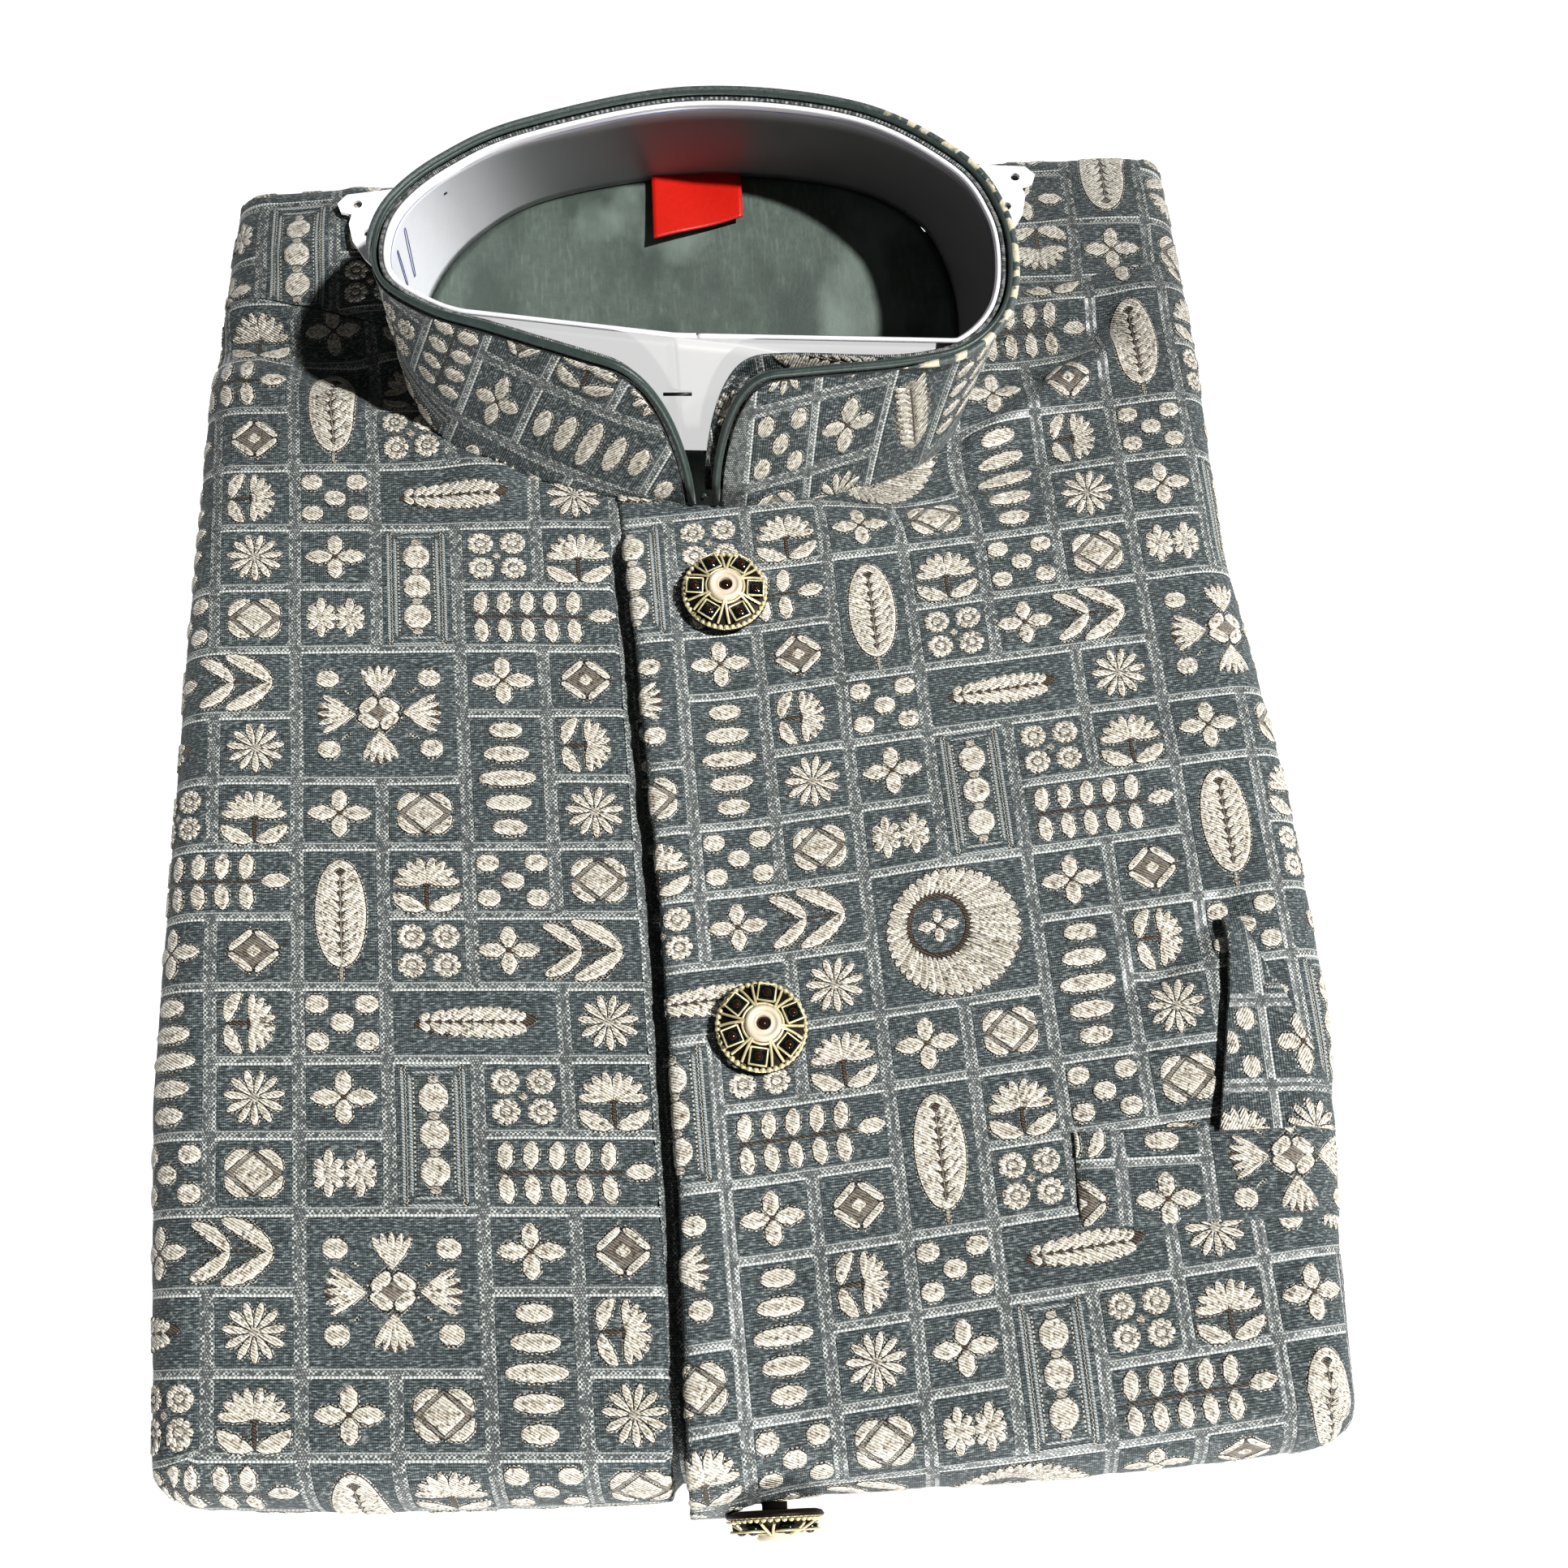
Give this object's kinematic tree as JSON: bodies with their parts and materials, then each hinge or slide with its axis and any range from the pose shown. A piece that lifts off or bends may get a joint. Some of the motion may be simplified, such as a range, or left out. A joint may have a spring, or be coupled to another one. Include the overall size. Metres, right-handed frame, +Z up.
{
  "type": "folded jacket kurta on a collar support band and plate",
  "caption": "Jacket kurta in woven brocade, folded flat for the shelf with its fronts up, its stand collar held open by a white band.",
  "frame": {"origin": "the middle of the folded garment's box, on the surface that it lies on", "axes": "+Z up from the surface, +Y towards the collar, +X to the garment's wearer's left"},
  "size_m": [0.275, 0.3584, 0.0669],
  "materials": {
    "brocade": "woven silk-like brocade, slate blue-grey ground with cream motifs",
    "hidden_layers": "the brocade's plain edges, folded in layers",
    "piping_cloth": "satin piping, dark sage",
    "lining_cloth": "slubbed plain weave, grey-green",
    "label_cloth": "satin ribbon, red, blank",
    "white_card": "smooth white sheet",
    "gold": "cast and plated, old gold",
    "steel": "bent wire"
  },
  "bodies": {
    "root": {"front_right": "brocade", "front_left": "brocade", "back_panel": "brocade", "collar_stand": "brocade", "collar_facing": "brocade", "pocket_welt": "brocade", "pocket_square": "brocade", "folded_core": "hidden_layers", "collar_piping": "piping_cloth", "neck_lining": "lining_cloth", "neck_label": "label_cloth", "collar_band": "white_card", "collar_butterfly": "white_card", "button_1": "gold", "button_2": "gold", "button_3": "gold", "collar_hook": "steel"}
  },
  "joints": []
}
